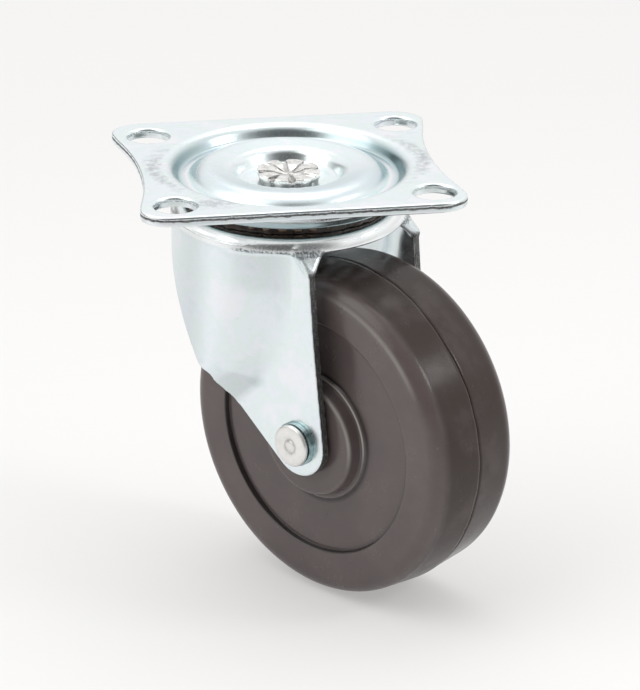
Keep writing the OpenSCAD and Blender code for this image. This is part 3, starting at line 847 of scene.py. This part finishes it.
def make_lower_race():
    cup_r = LOWER_PITCH_R + BALL_R + 1.4
    groove = turn_arc((LOWER_PITCH_R, CUP_Z - 0.2 + CUP_GROOVE_R), CUP_GROOVE_R, -117.6, -28, 12)
    profile = ([(CUP_BORE_R, CUP_SEAT_Z), (8.0, CUP_SEAT_Z), (8.5, CUP_SEAT_Z - 0.3), (9.1, CUP_Z)]
               + groove + [(cup_r, CUP_Z + 1.55), (cup_r + 0.35, CUP_Z + 1.6), (cup_r + 1.1, CUP_Z + 1.4),
                           (cup_r + 0.9, CUP_Z + 0.3), (cup_r + 0.4, CUP_Z - 0.7),
                           (cup_r - 0.5, CUP_Z - 1.4), (cup_r - 1.2, CUP_Z - CUP_T),
                           (9.9, CUP_Z - CUP_T), (9.3, CUP_SEAT_Z - CUP_T - 0.6),
                           (8.9, CUP_SEAT_Z - CUP_T), (CUP_BORE_R, CUP_SEAT_Z - CUP_T)])
    points, quads = lathe(profile[::-1], 144)
    piece = add_mesh("cup_race", points, quads, race_zinc)
    place(piece, "plate", "lower_race")


def make_ball_row(name, body, node, count, pitch_r, z):
    """Ring of balls in one mesh, each made of rows of faces between two poles."""
    rows, sides = 14, 24
    lat = np.linspace(-math.pi / 2, math.pi / 2, rows + 1)[1:-1]
    lon = np.arange(sides) * 2 * math.pi / sides
    shell = np.array([(BALL_R * math.cos(b) * math.cos(a), BALL_R * math.cos(b) * math.sin(a),
                       BALL_R * math.sin(b)) for b in lat for a in lon])
    shell = np.vstack([shell, (0, 0, -BALL_R), (0, 0, BALL_R)])
    faces = [(i * sides + j, i * sides + (j + 1) % sides,
              (i + 1) * sides + (j + 1) % sides, (i + 1) * sides + j)
             for i in range(len(lat) - 1) for j in range(sides)]
    south, north, top = len(shell) - 2, len(shell) - 1, (len(lat) - 1) * sides
    faces += [(south, (j + 1) % sides, j) for j in range(sides)]
    faces += [(north, top + j, top + (j + 1) % sides) for j in range(sides)]
    points, all_faces = [], []
    for k in range(count):
        a = 2 * math.pi * k / count
        all_faces += [tuple(i + k * len(shell) for i in face) for face in faces]
        points.append(shell + (pitch_r * math.cos(a), pitch_r * math.sin(a), z))
    piece = add_mesh(name, np.vstack(points), all_faces, ball_metal)
    place(piece, body, node)


def grease_field(p):
    """Grease squeezed out between the upper balls, clear of plate and crown."""
    x, y, z = p.T
    r, a = np.hypot(x, y), np.arctan2(y, x)
    swell = (0.16 * np.sin(5 * a + 1.0) + 0.12 * np.sin(13 * a + 0.3) + 0.10 * np.sin(29 * a)
             + 0.10 * np.sin(42 * a + 1.4 * np.sin(3 * a)))
    band = np.abs(r - GREASE_R) - GREASE_HALF - swell - 0.18 * np.sin((z + 6.5) * 2.2 + 4 * a)
    free = np.maximum(0.10 - plate_sheet(r, z), 0.10 - crown_sheet(r, z))
    inside = np.maximum(z - GREASE_TOP, CROWN_Z - 0.4 - z)
    return round_max(np.maximum(band, inside), free, 0.15)


def make_grease():
    points, quads, normals = surface_net(grease_field, (-24.4, -24.4, -8.9), (24.4, 24.4, -4),
                                         GREASE_STEP)
    piece = add_mesh("bearing_grease", points, quads, grease, 0, normals)
    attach(piece, "upper_ball_ring")


# Axle and wheel

WASHER_R, WASHER_BORE_R, WASHER_T = 5.0, 3.05, 1.1


def make_axle():
    """Both rivet heads, a little out of round and darker in the ring round the dimple and under the head,
    and their washers.
    """
    out = LEG_OUT + WASHER_T
    rng = np.random.default_rng(5)
    spokes = 160
    turn = np.arange(spokes) * 2 * math.pi / spokes
    wave = sum(rng.normal() * np.sin(k * turn + rng.uniform(0, 6)) / k for k in range(2, 9))
    head = [(3.0, out - 0.1), (4.0, out), (4.0, out + 0.30), (4.25, out + 0.38), (4.62, out + 0.42),
            (4.78, out + 0.55), (4.8, out + 0.8), (4.72, out + 1.06), (4.55, out + 1.22),
            (4.2, out + 1.31), (3.4, out + 1.34), (2.6, out + 1.33), (2.0, out + 1.30),
            (1.75, out + 1.20), (1.62, out + 1.12), (1.45, out + 1.12), (1.30, out + 1.24),
            (1.0, out + 1.36), (0.6, out + 1.44), (0.2, out + 1.47), (0.0001, out + 1.47)]
    profile = [(r, -h) for r, h in head[::-1]] + head
    points, quads = lathe(profile, spokes)
    grid = points.reshape(spokes, -1, 3)
    radius = np.hypot(grid[..., 0], grid[..., 1])
    grow = 1 - 0.010 * (1 + wave[:, None]) * (radius > 4.4)
    grid[..., :2] *= grow[..., None]
    # darker in the groove round the dimple and on the head's inner face
    darkening = smooth_step(0.16, 0.04, np.abs(radius - 1.54)) * (np.abs(grid[..., 2]) > out + 1)
    darkening = np.maximum(darkening, 0.8 * (np.abs(grid[..., 2]) < out + 0.5))
    piece = add_mesh("axle_heads", on_axle(points), quads, head_metal, SWIVEL,
                     marks={"darkening": darkening.ravel()})
    place(piece, "fork", "axle_rivet")
    for side, name in ((-1, "near_washer"), (1, "far_washer")):
        ring = smooth_profile([(WASHER_BORE_R, LEG_OUT, 0.1), (WASHER_R, LEG_OUT, 0.25),
                               (WASHER_R, out, 0.3), (WASHER_BORE_R, out, 0.1)], 0.3)
        points, quads = lathe(ring, 96)
        piece = add_mesh(name + "_ring", on_axle(points, side), quads, washer_zinc, SWIVEL)
        place(piece, "fork", name)


WHEEL_R, HALF_W, SHOULDER, CROWN_DROP = 38.0, 12.75, 3.6, 0.8
DISC_IN, DISC_R = 1.15, 27.2
HUB_R, HUB_HALF, WHEEL_BORE_R = 12.95, 15.2, 4.25
# height in the bore where the two halves of the section meet
SECTION_END = 5.0
PARTING_Y, PARTING_DEPTH, PARTING_HALF = -0.4, 0.50, 0.28
WHEEL_SEGMENTS, TREAD_STEPS = 336, 14


def wheel_side(side):
    """Section of one half, from the parting line to the bore, at full height."""
    top = WHEEL_R - (0.02 if side < 0 else 0.14)
    low = WHEEL_R - CROWN_DROP
    disc = HALF_W - DISC_IN
    edge = HALF_W - SHOULDER
    tread = [(top - PARTING_DEPTH, 0.0), (top - 0.4 * PARTING_DEPTH, 0.072), (top, PARTING_HALF)]
    for i in range(1, TREAD_STEPS + 1):
        t = i / TREAD_STEPS
        tread.append((top + (low - top) * t, PARTING_HALF + (edge - PARTING_HALF) * t))
    shoulder = turn_arc((low - SHOULDER, edge), SHOULDER, 0, 90, 22)[1:]
    face = smooth_profile([(low - SHOULDER, HALF_W, 0), (DISC_R, HALF_W, 0.45),
                           (DISC_R - 0.25, disc - 0.12, 0.22), (DISC_R - 1, disc, 0.5),
                           (14.9, disc, 0.25), (14.5, disc + 0.62, 0.28), (13.65, disc + 0.58, 0.35),
                           (HUB_R, HUB_HALF, 1.15), (7.2, HUB_HALF, 0.5), (6.7, HUB_HALF - 0.3, 0.3),
                           (WHEEL_BORE_R, HUB_HALF - 0.3, 0.2), (WHEEL_BORE_R, SECTION_END, 0),
                           (low - SHOULDER, SECTION_END, 0)], 0.9)
    # the line that closed the profile inside the rubber is left out
    face = [q for q in face if q[1] >= SECTION_END + 0.5]
    return tread + shoulder + face[1:] + [(WHEEL_BORE_R, SECTION_END)]


def parting_shift(y):
    """How far the parting line pulls a point of the section along; none from y 9 out."""
    return PARTING_Y * min(1, max(0, (9 - y) / 6))


def make_wheel():
    near = [(r, parting_shift(y) - y) for r, y in wheel_side(-1)]
    far = [(r, parting_shift(y) + y) for r, y in wheel_side(1)]
    points, quads = lathe(near[::-1] + far[1:], WHEEL_SEGMENTS)
    grid = points.reshape(WHEEL_SEGMENTS, -1, 3)
    radius = np.hypot(grid[..., 0], grid[..., 1])
    turn = np.arctan2(grid[..., 1], grid[..., 0])
    height = grid[..., 2]
    rng = np.random.default_rng(11)
    ripple = np.zeros_like(radius)
    for k in range(3, 40, 3):
        ripple += rng.normal() * np.sin(k * turn + rng.uniform(0, 6) + 0.35 * height * rng.normal()) / k
    # the tyre is a little uneven round its edge
    outer = smooth_step(30, 36, radius)
    change = -0.05 * (1 + np.clip(ripple, -1, 1)) * outer
    grid[..., :2] *= (1 + change / np.maximum(radius, 1))[..., None]
    # the mould's joint wanders a little round the tyre
    wander = 0.16 * np.sin(5 * turn + 0.6) + 0.10 * np.sin(11 * turn + 1.9) + 0.05 * np.sin(31 * turn)
    grid[..., 2] += wander * smooth_step(2.0, 0.2, np.abs(height - PARTING_Y)) * outer
    across = np.abs(height)
    tread = smooth_step(36.0, 37.3, radius) * smooth_step(11.5, 8.5, across)
    # painted shade: dark lines in the corners of the recess and round the hub; a dark joint along the
    # parting line
    corner = np.minimum(np.abs(radius - 27.07), np.abs(radius - 15.0) + 0.1)
    corner_line = smooth_step(0.42, 0.12, corner) * (across > 11)
    parting_line = smooth_step(0.30, 0.10, np.abs(height - PARTING_Y)) * (radius > 36)
    # painted highlights on the edges of the hub's step, of the hub and of the shoulder, strongest round
    # one side
    painted_edge_highlight = (smooth_step(0.30, 0.05, np.abs(radius - 14.35)) * smooth_step(11.9, 12.1, across)
            + 0.6 * smooth_step(0.6, 0.1, np.hypot(radius - 12.6, across - 14.85))
            + 0.35 * smooth_step(0.9, 0.1, np.abs(radius - 34.3)) * (across > 12)
            * smooth_step(0.84, 0.97, np.cos(turn - 1.05)))
    marks = {
        "tread": tread.ravel(),
        # painted shade along the tread beside each shoulder
        "band": (smooth_step(35.5, 37.0, radius) * hump(across, 8.2, 1.7)).ravel(),
        # painted shade in the recess corners, and the parting line's dark joint
        "line": np.maximum(corner_line, 0.8 * parting_line).ravel(),
        "painted_edge_highlight": (painted_edge_highlight * (0.15 + 0.85 * smooth_step(0.45, 0.95, np.cos(turn - 0.70)))).ravel(),
    }
    piece = add_mesh("moulded_wheel", on_axle(points), quads, rubber, SWIVEL, marks=marks)
    place(piece, "wheel", "wheel")


make_plate()
make_fork()
make_kingpin()
make_lower_race()
make_ball_row("upper_ball_row", "upper_ball_ring", "upper_balls", UPPER_COUNT, UPPER_PITCH_R, UPPER_Z)
make_ball_row("lower_ball_row", "lower_ball_ring", "lower_balls", LOWER_COUNT, LOWER_PITCH_R, LOWER_Z)
make_grease()
make_axle()
make_wheel()

# Camera: the photograph's view, solved from the part's outlines
IMAGE_W, IMAGE_H = 640, 690
CAM_AZ, CAM_EL, CAM_ROLL = -10.061, 22.725, 0.536
CAM_DIST = 846.875 * MM
CAM_F = 3758.93
AIM = Vector((0, 0, -45 * MM))
AIM_PX, AIM_PY = 287.669, 351.074
SENSOR_W = 36


def camera_axes():
    """The camera's right, up and back, with its roll."""
    az, el, roll = (math.radians(v) for v in (CAM_AZ, CAM_EL, CAM_ROLL))
    back = Vector((math.sin(az) * math.cos(el), -math.cos(az) * math.cos(el), math.sin(el)))
    right = Vector((math.cos(az), math.sin(az), 0))
    up = back.cross(right)
    return (right * math.cos(roll) + up * math.sin(roll),
            up * math.cos(roll) - right * math.sin(roll), back)


def make_camera():
    right, up, back = camera_axes()
    data = bpy.data.cameras.new("camera")
    data.sensor_fit = "HORIZONTAL"
    data.sensor_width = SENSOR_W
    data.lens = CAM_F * SENSOR_W / IMAGE_W
    data.clip_start, data.clip_end = 0.01, 20
    cam = bpy.data.objects.new("camera", data)
    side = (AIM_PX - IMAGE_W / 2) * CAM_DIST / CAM_F
    rise = (IMAGE_H / 2 - AIM_PY) * CAM_DIST / CAM_F
    spot = AIM + back * CAM_DIST - right * side - up * rise
    rot = Matrix((right, up, back)).transposed().to_4x4()
    cam.matrix_world = Matrix.Translation(spot) @ rot
    bpy.context.scene.collection.objects.link(cam)
    bpy.context.scene.camera = cam


make_camera()
bpy.context.scene.view_settings.view_transform = "Standard"

# Studio

def add_node(tree, kind, **values):
    """Node of the given kind; values set its properties or, by name, its sockets."""
    node = tree.nodes.new(kind)
    for key, value in values.items():
        if hasattr(node, key):
            setattr(node, key, value)
        else:
            node.inputs[key.replace("_", " ")].default_value = value
    return node


def grey_ramp(tree, socket, reach, stops):
    """Grey level by a value from -reach to reach; stops are (value, level)."""
    scale = add_node(tree, "ShaderNodeMapRange", From_Min=-reach, From_Max=reach)
    tree.links.new(socket, scale.inputs["Value"])
    node = add_node(tree, "ShaderNodeValToRGB")
    tree.links.new(scale.outputs[0], node.inputs["Fac"])
    fill_ramp(node, [((at + reach) / (2 * reach), (level, level, level)) for at, level in stops])
    return node.outputs["Color"]


OPENING = (-0.16, -0.91, 0.38)
LAMP_AIM = Vector((0, 0, -0.04))
FLOOR_R = 3
# grey card behind the table, as the steel sees it: metres behind the castor, paper, glow
CARD = [(-0.34, 0.40, 0.16), (-0.07, 0.57, 0.265), (-0.01, 0.60, 0.28), (0.04, 0.52, 0.24),
        (0.08, 0.48, 0.22), (0.18, 0.52, 0.24), (0.32, 0.64, 0.29)]


def make_world():
    """White tent with a dark opening at the front and a dim horizon behind on the left."""
    world = bpy.data.worlds.new("studio")
    bpy.context.scene.world = world
    tree = node_tree(world)
    coord = add_node(tree, "ShaderNodeTexCoord").outputs["Generated"]
    axes = add_node(tree, "ShaderNodeSeparateXYZ")
    tree.links.new(coord, axes.inputs[0])
    toward = add_node(tree, "ShaderNodeVectorMath", operation="DOT_PRODUCT")
    tree.links.new(coord, toward.inputs[0])
    toward.inputs[1].default_value = OPENING

    def join(blend, amount, a, b):
        node = add_node(tree, "ShaderNodeMix", data_type="RGBA", blend_type=blend)
        if isinstance(amount, float):
            node.inputs[0].default_value = amount
        else:
            tree.links.new(amount, node.inputs[0])
        tree.links.new(a, node.inputs[6])
        tree.links.new(b, node.inputs[7])
        return node.outputs[2]

    def level_by(socket, stops):
        return grey_ramp(tree, socket, 1.0, stops)

    dim = level_by(axes.outputs["Z"], [(-0.3, 0.30), (0.0, 0.04), (0.15, 0.06), (0.30, 0.92),
                                       (0.60, 1.0), (1.0, 0.95)])
    full = level_by(axes.outputs["Z"], [(-0.1, 0.75), (0.20, 0.85), (0.40, 0.98), (1.0, 0.95)])
    right = level_by(axes.outputs["X"], [(-0.6, 0.0), (0.05, 1.0)])
    front = level_by(axes.outputs["Y"], [(-0.25, 1.0), (0.15, 0.0)])
    open_side = join("LIGHTEN", 1.0, right, front)
    opening = level_by(toward.outputs["Value"], [(0.58, 1.0), (0.80, 0.26), (0.95, 0.12)])
    level = join("MULTIPLY", 1.0, join("MIX", open_side, dim, full), opening)
    back = add_node(tree, "ShaderNodeBackground")
    back.inputs["Strength"].default_value = 1.0
    out = add_node(tree, "ShaderNodeOutputWorld")
    tree.links.new(level, back.inputs["Color"])
    tree.links.new(back.outputs["Background"], out.inputs["Surface"])


def add_softbox(name, spot, size, level):
    """Square lamp aimed at the castor; level is the brightness of its face."""
    data = bpy.data.lights.new(name, "AREA")
    data.shape = "SQUARE"
    data.size = size
    data.energy = level * math.pi * size ** 2
    lamp = bpy.data.objects.new(name, data)
    lamp.location = spot
    aim = LAMP_AIM - lamp.location
    lamp.rotation_euler = aim.to_track_quat("-Z", "Y").to_euler()
    bpy.context.scene.collection.objects.link(lamp)


def floor_finish():
    """Paper sweep whose shadow stays faint where the camera or the steel sees it."""
    material = bpy.data.materials.new("paper")
    tree = node_tree(material)
    path = add_node(tree, "ShaderNodeLightPath")

    def paper(white, glow):
        """Diffuse paper with a glow of its own that lifts the shadows."""
        diffuse = add_node(tree, "ShaderNodeBsdfDiffuse")
        shine = add_node(tree, "ShaderNodeEmission")
        both = add_node(tree, "ShaderNodeAddShader")
        for socket, value in ((diffuse.inputs["Color"], white), (shine.inputs["Color"], glow)):
            if isinstance(value, tuple):
                socket.default_value = (*value, 1)
            else:
                tree.links.new(value, socket)
        tree.links.new(diffuse.outputs[0], both.inputs[0])
        tree.links.new(shine.outputs[0], both.inputs[1])
        return both.outputs[0]

    where = add_node(tree, "ShaderNodeTexCoord")
    axes = add_node(tree, "ShaderNodeSeparateXYZ")
    tree.links.new(where.outputs["Object"], axes.inputs[0])

    def fade(stops):
        """Grey by distance behind the castor; stops are (metres, level)."""
        return grey_ramp(tree, axes.outputs["Y"], 0.4, stops)

    lit = add_node(tree, "ShaderNodeBsdfDiffuse")
    lit.inputs["Color"].default_value = (0.88, 0.88, 0.88, 1)
    # the steel sees the table end in front of it and a grey card behind it
    mirrored = paper(fade([(at, white) for at, white, _ in CARD]),
                     fade([(at, glow) for at, _, glow in CARD]))
    seen = paper(fade([(-0.2, 0.585), (0.3, 0.50)]), (0.371, 0.362, 0.355))
    steel = add_node(tree, "ShaderNodeMixShader")
    tree.links.new(path.outputs["Is Glossy Ray"], steel.inputs[0])
    tree.links.new(lit.outputs[0], steel.inputs[1])
    tree.links.new(mirrored, steel.inputs[2])
    view = add_node(tree, "ShaderNodeMixShader")
    tree.links.new(path.outputs["Is Camera Ray"], view.inputs[0])
    tree.links.new(steel.outputs[0], view.inputs[1])
    tree.links.new(seen, view.inputs[2])
    out = add_node(tree, "ShaderNodeOutputMaterial")
    tree.links.new(view.outputs[0], out.inputs["Surface"])
    return material


def make_floor():
    """Round floor under the wheel."""
    z = cad_box[0][2]
    mesh = bpy.data.meshes.new("floor")
    rim = [(*arc_point((0, 0), FLOOR_R, a), z) for a in range(0, 360, 5)]
    mesh.from_pydata(rim, [], [list(range(len(rim)))])
    floor = bpy.data.objects.new("floor", mesh)
    bpy.context.scene.collection.objects.link(floor)
    mesh.materials.append(floor_finish())


make_world()
add_softbox("softbox_top", (0.1, 0.35, 0.95), 0.8, 1.0)
add_softbox("softbox_left", (-0.85, -0.15, 0.85), 1.1, 1.1)
add_softbox("softbox_right", (0.76, -0.30, 0.52), 0.22, 9.0)
make_floor()
